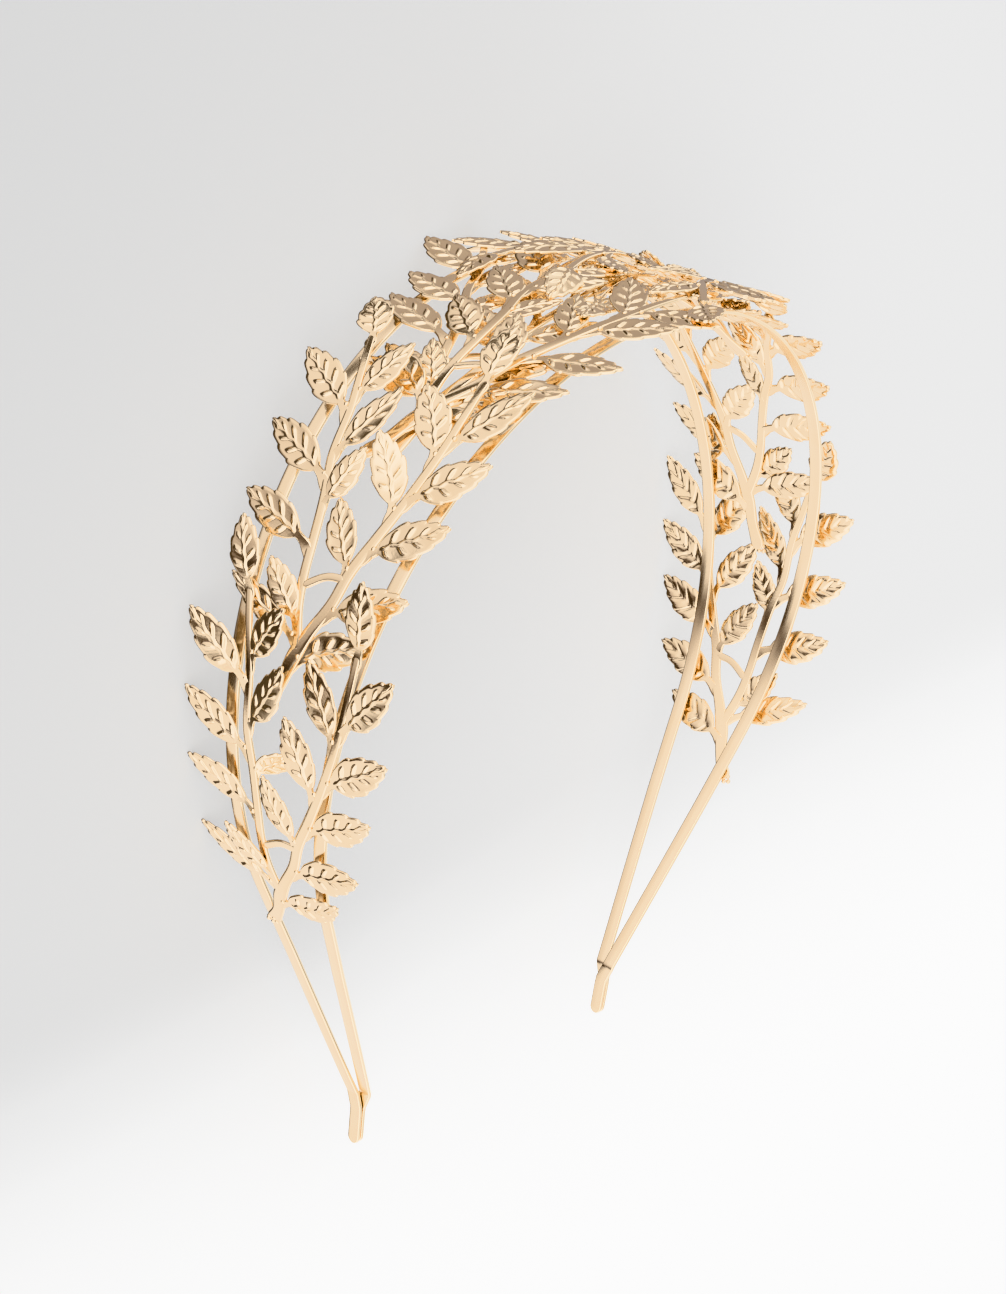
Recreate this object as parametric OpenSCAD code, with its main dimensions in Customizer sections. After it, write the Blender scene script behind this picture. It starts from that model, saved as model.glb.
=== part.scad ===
// Vine headband lying on its side: two thin metal bands that meet at both ends,
// with eight pressed leaf sprigs laid over them like shingles.
// X runs across the wearer's head, Y up it, Z is the height above the table.

/* [Arch] */
// Radius of the round part, to the middle of the bands
arch_r = 64; // [55:0.5:75]
// Degrees that the round part runs down each side of the top
arch_sweep = 117; // [100:1:125]
// Straight part below the round part
leg_len = 49; // [30:1:70]
// Flat end below the crease
end_len = 10; // [5:0.5:15]
// Direction of the flat end, in degrees (90 is straight down)
end_dir = 93; // [85:1:110]

/* [Bands] */
// Distance between the bands' middles at the top of the arch
band_spread = 35; // [20:1:45]
// Distance between the bands' middles where the ends begin
band_pinch = 2; // [0:0.5:6]
// How fast the bands close on each other down the legs
band_curve = 1.4; // [1:0.1:2.5]
// Width of each band
band_w = 2.4; // [1.5:0.1:4]
// Thickness of each band
band_t = 0.8; // [0.5:0.1:1.5]
// Slit between the two bands where the ends lie on each other
band_slit = 0.06; // [0.02:0.02:0.2]

/* [Sprigs] */
// Thickness of the pressed leaf sheet
leaf_t = 0.44; // [0.3:0.02:0.8]
// Width of a leaf
leaf_w = 5.4; // [4:0.1:7]
// How far a leaf's midrib stands above its edges
leaf_ridge = 0.32; // [0:0.02:0.6]
// Thickness of the stems
stem_t = 0.6; // [0.4:0.02:1]
// Height of a leaf's root inside its stem
root_t = 0.1; // [0.05:0.01:0.12]
// Height of a sprig's sheet above the middle of the bands where it touches them
seat = 0.85; // [0.7:0.01:1.2]
// Step between sprigs that lie over each other
layer = 0.95; // [0.8:0.02:1.5]

/* [Resting] */
// Lean about X as it lies on its leaf tips
lean_x = 8.17; // [-10:0.01:10]
// Lean about Y
lean_y = -1.89; // [-10:0.01:10]
// Lift that puts the lowest leaf tip on the table
rest_z = 29.009; // [0:0.001:60]
// Shift that centres the part in X
centre_x = -0.328; // [-20:0.001:20]
// Shift that centres the part in Y
centre_y = 69.844; // [0:0.001:120]

/* [Hidden] */
round_len = arch_r * arch_sweep * PI / 180;
half_len = round_len + leg_len;
full_len = half_len + end_len;

// Main stem of a sprig: across, along, width
main_stem = [
  [-4.5, -9, 2.6], [-2.3, -5.5, 2.0], [0, 0, 2.4], [1.9, 3.5, 1.9], [4.8, 8.5, 1.8],
  [6.4, 13.5, 1.8], [8.7, 18.5, 1.7], [11.5, 26, 1.5], [13.2, 33.5, 1.4],
  [13.6, 41, 1.3], [13.4, 47, 1.2]
];
// Second stem: across, along, width
side_stem = [
  [0.2, 0.6, 1.7], [-1.3, 7, 1.6], [-1.7, 11.5, 1.5], [-1.9, 16, 1.5], [-2.9, 23.5, 1.5], [-4.5, 29, 1.4],
  [-5.6, 37, 1.3], [-7.7, 43.5, 1.2], [-10, 50, 1.1]
];
stems = [main_stem, side_stem];
// Bridge that closes the ring between the stems: across, along, width
bridge = [[5.7, 12.3, 1.2], [3, 12.1, 1.1], [-1.2, 9.9, 1.2]];
// Leaves: stem (0 main, 1 second), place along it, tip across, tip along, share of
// the leaf width
leaves = [
  [0, -2.5, 12.8, 3.5, 1], [0, 6, 18.5, 11.7, 1], [0, 16, 21.5, 23.3, 1],
  [0, 25, 23.5, 33.5, 1], [0, 34.5, 23.3, 46, 1], [0, 46, 12.5, 57, 1],
  [0, 12.5, 0.2, 23.6, 0.94], [0, 22, 2.8, 34, 0.94], [0, 31.5, 5, 43.5, 1],
  [1, 3.5, -7.6, 12.6, 0.86], [1, 1.2, -14.5, 9, 0.86], [1, 15, -16, 21, 1],
  [1, 25, -17.2, 32, 1], [1, 35.5, -17.9, 44, 1], [1, 49, -14.2, 59, 1],
  [1, 21.5, 2.3, 31, 0.8], [1, 29, 2.2, 41.5, 0.94], [1, 38.5, -0.8, 49, 0.94]
];
// Leaf outline up to its pointed tip: share of the length, of the half width, of the ridge
leaf_form = [[0, 0.18, 0], [0.36, 1, 0.9], [0.69, 0.82, 0.8]];

// Sprigs: across, along the arch, turn, side (1 left, -1 right), height at the
// foot, height at the far end, run over which it climbs
low_left = [1, -128, -0.7, 1, seat, seat + 2.3 * layer, 66];
mid_left = [-0.6, -84.8, 4.9, 1, seat, seat + 3.6 * layer, 64];
top_left = [-2.3, -45.1, -2.3, 1, seat + layer, seat + 2 * layer, 37];
crown_left = [-2.4, -43.5, 18.3, 1, seat, seat, 37];
low_right = [2.4, -130.3, -2.8, -1, seat, seat + 2.3 * layer, 66];
mid_right = [-3.5, -86.7, 5.1, -1, seat, seat + 3.6 * layer, 64];
top_right = [-2.3, -41.8, 0, -1, seat, seat + layer, 37];
crown_right = [-2.2, -42.8, 18.4, -1, seat + layer, seat + 3 * layer, 37];

function clamp01(v) = min(1, max(0, v));

// Distance of a band's middle from the arch's middle plane, at a distance from the top
function spread_at(d) = d < half_len
  ? band_pinch / 2 + (band_spread - band_pinch) / 2 * (1 - pow(d / half_len, band_curve))
  : band_pinch / 2 * clamp01(1 - (d - half_len) / 3);

// Point on the arch: u along it from the top (minus is left), v across, h outward
function arch_pt(u, v, h) = let (
    d = abs(u),
    s = u < 0 ? -1 : 1,
    t = min(d, round_len) / arch_r * 180 / PI,
    b = min(max(d - round_len, 0), leg_len),
    c = max(d - half_len, 0),
    turn = t + (end_dir - arch_sweep) * clamp01((d - half_len + 1) / 2),
    x = arch_r * sin(t) + b * cos(arch_sweep) + c * cos(end_dir) + h * sin(turn),
    y = arch_r * (cos(t) - 1) - b * sin(arch_sweep) - c * sin(end_dir) + h * cos(turn)
  ) [s * x, y, -v];

// Point on a sprig: r across, a along, h above the sprig's own sheet
function sprig_pt(p, r, a, h) = let (
    v = p[0] - r * cos(p[2]) + a * sin(p[2]),
    u = p[1] + a * cos(p[2]) + r * sin(p[2]),
    climb = p[4] + (p[5] - p[4]) * clamp01((a + 9) / p[6])
  ) arch_pt(p[3] * u, p[3] * v, climb + h);

function stem_across(stem, a) = lookup(a, [for (q = stem) [q[1], q[0]]]);

// Faces of a skin over n rings of m points
function skin(n, m) = concat(
  [for (j = [1:m - 2]) [0, j + 1, j]],
  [for (i = [0:n - 2], j = [0:m - 1]) [i * m + j, i * m + (j + 1) % m, (i + 1) * m + (j + 1) % m]],
  [for (i = [0:n - 2], j = [0:m - 1]) [i * m + j, (i + 1) * m + (j + 1) % m, (i + 1) * m + j]],
  [for (j = [1:m - 2]) [(n - 1) * m, (n - 1) * m + j, (n - 1) * m + j + 1]]
);

// Four corners of a stem's section at row i of its table
function section(p, path, i, t) = let (
    q = path[i],
    a = path[max(i - 1, 0)],
    b = path[min(i + 1, len(path) - 1)],
    w = [b[1] - a[1], a[0] - b[0]] / norm([b[0] - a[0], b[1] - a[1]]) * q[2] / 2,
    near = sprig_pt(p, q[0] + w[0], q[1] + w[1], 0),
    far = sprig_pt(p, q[0] - w[0], q[1] - w[1], 0),
    up = (sprig_pt(p, q[0], q[1], 1) - sprig_pt(p, q[0], q[1], 0)) * t / 2
  ) [near + up, far + up, far - up, near - up];

// A flat stem through its table's rows
module strip(p, path, t) {
  polyhedron(
    points = [for (i = [0:len(path) - 1]) each section(p, path, i, t)],
    faces = skin(len(path), 4)
  );
}

// A leaf with a raised midrib: its outline's rings, thinner where it joins the stem, and a tip
module leaf(p, from, to, wide) {
  l = norm(to - from);
  d = (to - from) / l;
  w = [d[1], -d[0]] * leaf_w * wide / 2;
  n = len(leaf_form);
  rings = [for (f = leaf_form) let (
      m = from + d * l * f[0],
      a = m + w * f[1],
      b = m - w * f[1],
      over = f[0] > 0 ? leaf_t / 2 : root_t,
      under = f[0] > 0 ? -leaf_t / 2 : -root_t / 2
    ) each [
      sprig_pt(p, a[0], a[1], over),
      sprig_pt(p, m[0], m[1], over + leaf_ridge * f[2]),
      sprig_pt(p, b[0], b[1], over),
      sprig_pt(p, b[0], b[1], under),
      sprig_pt(p, a[0], a[1], under)
    ]];
  hull()
    polyhedron(
      points = concat(rings, [sprig_pt(p, to[0], to[1], 0)]),
      faces = concat(
        [for (q = skin(n, 5)) if (min(q) < 5 * (n - 1)) q],
        [for (j = [0:4]) [5 * n, 5 * (n - 1) + j, 5 * (n - 1) + (j + 1) % 5]]
      )
    );
}

module sprig(p) {
  union() {
    strip(p, main_stem, stem_t);
    strip(p, side_stem, stem_t - 0.1);
    strip(p, bridge, stem_t - 0.18);
    for (f = leaves) leaf(p, [stem_across(stems[f[0]], f[1]), f[1]], [f[2], f[3]], f[4]);
  }
}

// One band, side 1 at the back and -1 at the front
module band(side) {
  steps = concat(
    [for (i = [0:17]) round_len * i / 17],
    [for (i = [1:4]) round_len + leg_len * i / 4 - (i == 4 ? 1 : 0)],
    [half_len, half_len + 1, half_len + 3, full_len - 1.2, full_len - 0.5, full_len - 0.1]
  );
  k = len(steps);
  path = concat([for (i = [k - 1:-1:1]) -steps[i]], steps);
  pts = [for (u = path) let (
      d = abs(u),
      e = 0.5,
      slope = (spread_at(d + e) - spread_at(d - e)) / (2 * e) * side * (u < 0 ? -1 : 1),
      c = d < 2 ? 1 : cos(atan(slope)),
      s = d < 2 ? 0 : sin(atan(slope)),
      w = band_w / 2 * sqrt(1 - pow(clamp01((d - full_len + 1.2) / 1.2), 2)),
      v = side * spread_at(d),
      m = side * (band_t + band_slit) / 2 * clamp01((d - half_len + 34) / 30)
    ) each [
      arch_pt(u + w * s, v - w * c, m + band_t / 2),
      arch_pt(u - w * s, v + w * c, m + band_t / 2),
      arch_pt(u - w * s, v + w * c, m - band_t / 2),
      arch_pt(u + w * s, v - w * c, m - band_t / 2)
    ]];
  polyhedron(points = pts, faces = skin(len(path), 4));
}

// Puts the headband down on its leaf tips
module laid() {
  translate([centre_x, centre_y, rest_z]) rotate([lean_x, lean_y, 0]) children();
}

module front_band() { color([0.91, 0.8, 0.62]) laid() band(-1); }
module back_band() { color([0.91, 0.8, 0.62]) laid() band(1); }
module left_low_sprig() { color([0.87, 0.75, 0.57]) laid() sprig(low_left); }
module left_mid_sprig() { color([0.87, 0.75, 0.57]) laid() sprig(mid_left); }
module left_top_sprig() { color([0.87, 0.75, 0.57]) laid() sprig(top_left); }
module left_crown_sprig() { color([0.87, 0.75, 0.57]) laid() sprig(crown_left); }
module right_low_sprig() { color([0.87, 0.75, 0.57]) laid() sprig(low_right); }
module right_mid_sprig() { color([0.87, 0.75, 0.57]) laid() sprig(mid_right); }
module right_top_sprig() { color([0.87, 0.75, 0.57]) laid() sprig(top_right); }
module right_crown_sprig() { color([0.87, 0.75, 0.57]) laid() sprig(crown_right); }

front_band();
back_band();
left_low_sprig();
left_mid_sprig();
left_top_sprig();
left_crown_sprig();
right_low_sprig();
right_mid_sprig();
right_top_sprig();
right_crown_sprig();
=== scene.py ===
import math
import bpy
import numpy as np
from mathutils import Euler, Matrix, Vector


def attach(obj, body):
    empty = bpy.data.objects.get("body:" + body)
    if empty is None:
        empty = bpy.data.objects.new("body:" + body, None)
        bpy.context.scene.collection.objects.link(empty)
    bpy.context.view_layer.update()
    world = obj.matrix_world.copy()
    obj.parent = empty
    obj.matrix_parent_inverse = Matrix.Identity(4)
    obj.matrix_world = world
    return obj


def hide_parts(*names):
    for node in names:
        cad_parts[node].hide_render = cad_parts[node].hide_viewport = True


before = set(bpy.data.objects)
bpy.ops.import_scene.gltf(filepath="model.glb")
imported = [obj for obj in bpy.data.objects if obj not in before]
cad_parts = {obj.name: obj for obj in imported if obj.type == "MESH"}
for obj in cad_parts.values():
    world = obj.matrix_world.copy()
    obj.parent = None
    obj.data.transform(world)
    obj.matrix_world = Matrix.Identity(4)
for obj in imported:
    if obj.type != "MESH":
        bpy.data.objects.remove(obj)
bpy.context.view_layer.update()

mm = 0.001
scene = bpy.context.scene

# The arch is drawn level on its side, its top towards +y. Two small turns, in degrees, and a shift,
# in millimetres, then set it down on its leaf tips.
resting = {"leanX": 8.17, "leanY": -1.89, "shift": (-0.328, 69.844, 29.009)}
restTurn = Euler((math.radians(resting["leanX"]), math.radians(resting["leanY"]), 0), "XYZ").to_matrix()
layDown = Matrix.Translation(Vector(resting["shift"]) * mm) @ restTurn.to_4x4()


class Wire:
    # one output of a node, which can be added, multiplied and so on
    def __init__(self, sheet, socket):
        self.sheet, self.socket = sheet, socket

    def __add__(self, other):
        return self.sheet.math("ADD", self, other)

    def __radd__(self, other):
        return self.sheet.math("ADD", other, self)

    def __sub__(self, other):
        return self.sheet.math("SUBTRACT", self, other)

    def __rsub__(self, other):
        return self.sheet.math("SUBTRACT", other, self)

    def __mul__(self, other):
        return self.sheet.math("MULTIPLY", self, other)

    def __rmul__(self, other):
        return self.sheet.math("MULTIPLY", other, self)

    def __truediv__(self, other):
        return self.sheet.math("DIVIDE", self, other)


class NodeSheet:
    # puts nodes into one tree
    def __init__(self, tree):
        self.tree = tree

    def put(self, kind, settings=None, values=None, out=0):
        node = self.tree.nodes.new(kind)
        for name, setting in (settings or {}).items():
            if name == "stops":
                ramp = node.color_ramp
                while len(ramp.elements) < len(setting):
                    ramp.elements.new(0.5)
                for element, (place, colour) in zip(ramp.elements, setting):
                    element.position, element.color = place, (*colour, 1)
            else:
                setattr(node, name, setting)
        for name, value in (values or {}).items():
            for given in value if isinstance(value, list) else [value]:
                if isinstance(given, Wire):
                    self.tree.links.new(given.socket, node.inputs[name])
                else:
                    node.inputs[name].default_value = given
        return node if out is None else Wire(self, node.outputs[out])

    def math(self, operation, *values):
        return self.put("ShaderNodeMath", {"operation": operation}, dict(enumerate(values)))

    def vector(self, operation, *values, out=0):
        return self.put("ShaderNodeVectorMath", {"operation": operation}, dict(enumerate(values)), out)

    def scaled(self, vector, factor):
        return self.put("ShaderNodeVectorMath", {"operation": "SCALE"}, {0: vector, "Scale": factor})

    def clamp(self, value):
        return self.put("ShaderNodeClamp", {}, {0: value})

    def ease(self, value, low, high):
        return self.put("ShaderNodeMapRange", {"interpolation_type": "SMOOTHSTEP"},
                        {"Value": value, "From Min": low, "From Max": high})

    def parts(self, vector):
        node = self.put("ShaderNodeSeparateXYZ", {}, {0: vector}, out=None)
        return [Wire(self, socket) for socket in node.outputs]

    def joined(self, x, y, z):
        return self.put("ShaderNodeCombineXYZ", {}, {0: x, 1: y, 2: z})

    def blend(self, factor, first, second):
        return self.put("ShaderNodeMix", {"data_type": "RGBA"}, {0: factor, 6: first, 7: second}, out=2)

    def noise(self, place, scale, detail):
        return self.put("ShaderNodeTexNoise", {}, {"Vector": place, "Scale": scale, "Detail": detail})

    def attribute(self, name):
        return self.put("ShaderNodeAttribute", {"attribute_name": name}, {}, "Fac")

    def stored(self, shape, name, value, kind="FLOAT"):
        return self.put("GeometryNodeStoreNamedAttribute", {"data_type": kind, "domain": "POINT"},
                        {"Geometry": shape, "Name": name, "Value": value})

    def named(self, name, kind="FLOAT"):
        return self.put("GeometryNodeInputNamedAttribute", {"data_type": kind}, {"Name": name})

    def moved(self, shape, position):
        return self.put("GeometryNodeSetPosition", {}, {"Geometry": shape, "Position": position})

    def shapeOf(self, thing):
        return self.put("GeometryNodeObjectInfo", {}, {"Object": thing}, "Geometry")

    def onPoints(self, points, instance, scale=(1, 1, 1)):
        copies = self.put("GeometryNodeInstanceOnPoints", {},
                          {"Points": points, "Instance": instance, "Scale": scale})
        return self.put("GeometryNodeRealizeInstances", {}, {"Geometry": copies})

    def grouped(self, tree, inputs):
        return self.put("GeometryNodeGroup", {"node_tree": tree}, inputs)


def shapeTree(name, inputs):
    # an empty Geometry Nodes tree with its named inputs
    tree = bpy.data.node_groups.new(name, "GeometryNodeTree")
    tree.interface.new_socket("Shape", in_out="OUTPUT", socket_type="NodeSocketGeometry")
    for label, kind in inputs.items():
        tree.interface.new_socket(label, in_out="INPUT", socket_type="NodeSocket" + kind)
    sheet = NodeSheet(tree)
    start = sheet.put("NodeGroupInput", out=None)
    given = {socket.name: Wire(sheet, socket) for socket in start.outputs if socket.name in inputs}
    end = sheet.put("NodeGroupOutput", out=None)
    return tree, sheet, given, end


def addObject(name, data):
    thing = bpy.data.objects.new(name, data)
    scene.collection.objects.link(thing)
    return thing


def addLines(name, lines):
    # each line is its points with a half width and a roll at each, in metres and radians
    curve = bpy.data.curves.new(name, "CURVE")
    curve.dimensions = "3D"
    for points, halfWidths, rolls, closed in lines:
        spline = curve.splines.new("POLY")
        spline.points.add(len(points) - 1)
        spline.use_cyclic_u = closed
        for point, place, half, roll in zip(spline.points, points, halfWidths, rolls):
            point.co = (*place, 1)
            point.radius, point.tilt = half, roll
    return addObject(name, curve)


def evenLine(points, closed=False):
    # one line of even width, without roll
    return points, [1] * len(points), [0] * len(points), closed


def addMesh(name, points, faces):
    mesh = bpy.data.meshes.new(name)
    mesh.from_pydata([tuple(p) for p in points], [], faces)
    return addObject(name, mesh)


def limited(value):
    return min(max(value, 0), 1)


# Camera: the photograph's angle to the arch, from above the floor. Its place is in millimetres.
cameraView = {"place": (-374.932, 152.827, 291.296), "right": (0.599598, 0.009929, 0.800240),
              "up": (0.234573, 0.953826, -0.187594), "lens": 80.02, "sensor": 36, "clip": (0.01, 20)}
cameraData = bpy.data.cameras.new("camera")
cameraData.lens, cameraData.sensor_width = cameraView["lens"], cameraView["sensor"]
cameraData.clip_start, cameraData.clip_end = cameraView["clip"]
camera = addObject("camera", cameraData)
sideways, upwards = Vector(cameraView["right"]).normalized(), Vector(cameraView["up"]).normalized()
cameraTurn = Matrix((sideways, upwards, sideways.cross(upwards))).transposed().to_4x4()
camera.matrix_world = Matrix.Translation(Vector(cameraView["place"]) * mm) @ cameraTurn
scene.camera = camera
print("camera stands")

# The arch's centre line, in millimetres and degrees: a round part, then a straight leg and a flat end
# to each side. Lengths along it start at the middle of the top.
archSizes = {"radius": 64, "sweep": 117, "leg": 49, "end": 10, "endDirection": 93,
             "spread": 35, "pinch": 2, "spreadPower": 1.4, "closeOver": 3,
             "spare": 2, "points": 560, "nearCrease": (-0.5, -0.25, 0, 0.25, 0.5)}
roundLength = archSizes["radius"] * math.radians(archSizes["sweep"])
halfLength = roundLength + archSizes["leg"]
fullLength = halfLength + archSizes["end"]
pathEnd = fullLength + archSizes["spare"]


def archPoint(along):
    # x across the head and y towards the top, in metres
    radius, reach, side = archSizes["radius"], abs(along), math.copysign(1, along)
    slope, endSlope = math.radians(archSizes["sweep"]), math.radians(archSizes["endDirection"])
    turn = min(reach, roundLength) / radius
    leg = min(max(reach - roundLength, 0), archSizes["leg"])
    end = max(reach - halfLength, 0)
    out = radius * math.sin(turn) + leg * math.cos(slope) + end * math.cos(endSlope)
    down = radius * (1 - math.cos(turn)) + leg * math.sin(slope) + end * math.sin(endSlope)
    return side * out * mm, -down * mm, 0


def spreadAt(along):
    # half the distance between the two bands, which close up just past the crease
    share = min(abs(along) / halfLength, 1)
    half = archSizes["pinch"] / 2 + (archSizes["spread"] - archSizes["pinch"]) / 2 * (
        1 - share ** archSizes["spreadPower"])
    return half * limited(1 - (abs(along) - halfLength) / archSizes["closeOver"])


pathPlaces = set(np.linspace(-pathEnd, pathEnd, archSizes["points"])) | {
    side * (halfLength + step) for side in (-1, 1) for step in archSizes["nearCrease"]}
archPath = addLines("archPath", [evenLine([archPoint(u) for u in sorted(pathPlaces)])])

# Lays a flat shape on the arch: x across, y along, z outwards. It rises from its foot towards its tips.
placing = {"Arch": "Object", "Across": "Float", "Along": "Float", "Lean": "Float", "Side": "Float",
           "Rise at foot": "Float", "Rise at tips": "Float", "Rise over": "Float"}
footReach = 9      # how far a sprig's foot reaches back from its fork, in millimetres
layOnArch, sheet, given, end = shapeTree("layOnArch", {"Flat shape": "Geometry"} | placing)
x, y, z = sheet.parts(sheet.put("GeometryNodeInputPosition"))
cosine, sine = sheet.math("COSINE", given["Lean"]), sheet.math("SINE", given["Lean"])
across = given["Across"] - x * cosine + y * sine
along = given["Along"] + y * cosine + x * sine
climbed = sheet.clamp((y + footReach * mm) / given["Rise over"])
rise = given["Rise at foot"] + (given["Rise at tips"] - given["Rise at foot"]) * climbed
bend = sheet.put("GeometryNodeSampleCurve", {"mode": "LENGTH", "use_all_curves": True}, {
    "Curves": sheet.shapeOf(given["Arch"]), "Length": given["Side"] * along + pathEnd * mm}, out=None)
tangentX, tangentY = sheet.parts(Wire(sheet, bend.outputs["Tangent"]))[:2]
outwards = sheet.joined(0 - tangentY, tangentX, 0.0)
aside = sheet.joined(0.0, 0.0, 0 - across * given["Side"])
offset = sheet.vector("ADD", sheet.scaled(outwards, rise + z), aside)
place = sheet.vector("ADD", Wire(sheet, bend.outputs["Position"]), offset)
sheet.tree.links.new(sheet.moved(given["Flat shape"], place).socket, end.inputs["Shape"])

# A flat strip along each line: the line's radius is its half width, and the profile's height is kept.
stripFromLines, sheet, given, end = shapeTree("stripFromLines", {"Lines": "Object", "Profile": "Object"})
x, y, z = sheet.parts(sheet.put("GeometryNodeInputPosition"))
lines = sheet.stored(sheet.shapeOf(given["Lines"]), "lineHeight", z)
lines = sheet.moved(lines, sheet.joined(x, y, 0.0))
lines = sheet.put("GeometryNodeSetCurveNormal", {"mode": "Z_UP"}, {"Curve": lines})
profile = sheet.stored(sheet.stored(sheet.shapeOf(given["Profile"]), "rise", y), "across", x)
strip = sheet.put("GeometryNodeCurveToMesh", {}, {
    "Curve": lines, "Profile Curve": profile, "Scale": sheet.put("GeometryNodeInputRadius"),
    "Fill Caps": True})
strip = sheet.moved(strip, sheet.joined(x, y, sheet.named("lineHeight") + sheet.named("rise")))
strip = sheet.stored(strip, "along", y)
sheet.tree.links.new(strip.socket, end.inputs["Shape"])

profileShape = {"cornerSteps": 4, "flatHalf": 0.35}


def flatProfile(name, halfThick, corner, dome):
    # a rounded oblong one unit to each side and halfThick up and down, with a slightly domed top
    angles = np.linspace(0, math.pi / 2, profileShape["cornerSteps"])
    right = [(1 - corner[0] * (1 - math.cos(a)), halfThick - corner[1] * (1 - math.sin(a))) for a in angles]
    right.append((profileShape["flatHalf"], halfThick))
    top = [(px, py + dome * (1 - px * px)) for px, py in right + [(-px, py) for px, py in reversed(right)]]
    under = [(px, -min(py, halfThick)) for px, py in reversed(top) if abs(px) > profileShape["flatHalf"]]
    return addLines(name, [evenLine([(px, py, 0) for px, py in reversed(top + under)], closed=True)])


def finishTree(sheet, end, shape, material):
    shape = sheet.put("GeometryNodeRealizeInstances", {}, {"Geometry": shape})
    shape = sheet.put("GeometryNodeSetShadeSmooth", {}, {"Geometry": shape, "Shade Smooth": True})
    shape = sheet.put("GeometryNodeSetMaterial", {}, {"Geometry": shape, "Material": material})
    sheet.tree.links.new(shape.socket, end.inputs["Shape"])


def makePiece(name, tree, inputs):
    # runs the tree once and keeps its result as a plain mesh, laid down with the arch
    maker = addObject(name + "_maker", bpy.data.meshes.new(name))
    modifier = maker.modifiers.new("shape", "NODES")
    modifier.node_group = tree
    named = {item.name: item.identifier for item in tree.interface.items_tree if item.in_out == "INPUT"}
    for label, value in inputs.items():
        modifier[named[label]] = value
    bpy.context.view_layer.update()
    evaluated = maker.evaluated_get(bpy.context.evaluated_depsgraph_get())
    mesh = bpy.data.meshes.new_from_object(evaluated)
    mesh.transform(layDown)
    for spare in ("lineHeight", "rise", "leafNumber"):
        if mesh.attributes.get(spare):
            mesh.attributes.remove(mesh.attributes[spare])
    maker.modifiers.remove(modifier)
    bpy.data.objects.remove(maker)
    piece = addObject(name, mesh)
    mesh.name = name
    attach(piece, "root")
    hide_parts(name.replace("_look", ""))
    mesh.calc_loop_triangles()
    print(name, len(mesh.loop_triangles), "triangles")


# Metal: pale gold plate. Cloudy patches are a little warmer and duller. The sheet between the veins is a
# little duller, and is painted a little warmer as painted warm bounce light from the gold round it.
plate = {"pale": (0.965, 0.815, 0.605), "warm": (0.945, 0.695, 0.405), "patchScale": 160.0,
         "patchDetail": 3.0, "grainScale": 2600.0, "grainDetail": 2.0, "bump": 0.6}
brushedFinish = {"streaksAcross": 14, "streaksAlong": 90, "streakDetail": 4.0, "edgeFrom": 0.8,
                 "patchWarmth": 0.35, "streakWarmth": 0.25, "rough": 0.10, "patchRough": 0.05,
                 "streakRough": 0.08, "edgeSmooth": 0.04, "streakRelief": 0.8, "grainRelief": 0.2,
                 "depth": 0.000012}
pressedFinish = {"raisedFrom": 0.5, "patchWarmth": 0.5, "lowPaintedBounce": 0.12, "rough": 0.06,
                 "patchRough": 0.08, "lowRough": 0.02, "patchRelief": 0.65, "grainRelief": 0.35,
                 "depth": 0.00003}


def brushed(sheet, patches, grain):
    # the bands: fine streaks along them, polished at both edges
    look = brushedFinish
    across, along = sheet.attribute("across"), sheet.attribute("along")
    weave = sheet.joined(across * look["streaksAcross"], along * look["streaksAlong"], 0.0)
    streaks = sheet.noise(weave, 1.0, look["streakDetail"])
    edges = sheet.ease(sheet.math("ABSOLUTE", across), look["edgeFrom"], 1.0)
    warmth = patches * look["patchWarmth"] + streaks * look["streakWarmth"]
    rough = look["rough"] + patches * look["patchRough"] + streaks * look["streakRough"]
    relief = streaks * look["streakRelief"] + grain * look["grainRelief"]
    return warmth, rough - edges * look["edgeSmooth"], relief, look["depth"]


def pressed(sheet, patches, grain):
    # the sprigs: polished where the veins stand up, with painted warm bounce light on the low sheet between
    # them
    look = pressedFinish
    low = 1 - sheet.ease(sheet.attribute("raised"), look["raisedFrom"], 1.0)
    # painted bounce light: the low sheet between the veins is painted warmer, standing in for warm light
    # reflected from the gold round it
    warmth = patches * look["patchWarmth"] + low * look["lowPaintedBounce"]
    rough = look["rough"] + patches * look["patchRough"] + low * look["lowRough"]
    relief = grain * look["grainRelief"] + patches * look["patchRelief"]
    return warmth, rough, relief, look["depth"]


def paleGold(name, finish):
    material = bpy.data.materials.new(name)
    material.use_nodes = True
    material.node_tree.nodes.clear()
    sheet = NodeSheet(material.node_tree)
    place = sheet.put("ShaderNodeTexCoord", {}, {}, "Object")
    patches = sheet.noise(place, plate["patchScale"], plate["patchDetail"])
    grain = sheet.noise(place, plate["grainScale"], plate["grainDetail"])
    warmth, rough, relief, depth = finish(sheet, patches, grain)
    colour = sheet.blend(sheet.clamp(warmth), (*plate["pale"], 1), (*plate["warm"], 1))
    bump = sheet.put("ShaderNodeBump", {}, {"Height": relief, "Distance": depth, "Strength": plate["bump"]})
    metal = sheet.put("ShaderNodeBsdfPrincipled", {}, {
        "Base Color": colour, "Metallic": 1.0, "Roughness": rough, "Normal": bump})
    sheet.put("ShaderNodeOutputMaterial", {}, {"Surface": metal}, out=None)
    return material


bandMetal = paleGold("band_metal_look", brushed)
sprigMetal = paleGold("sprig_metal_look", pressed)
print("metals mixed")

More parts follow.
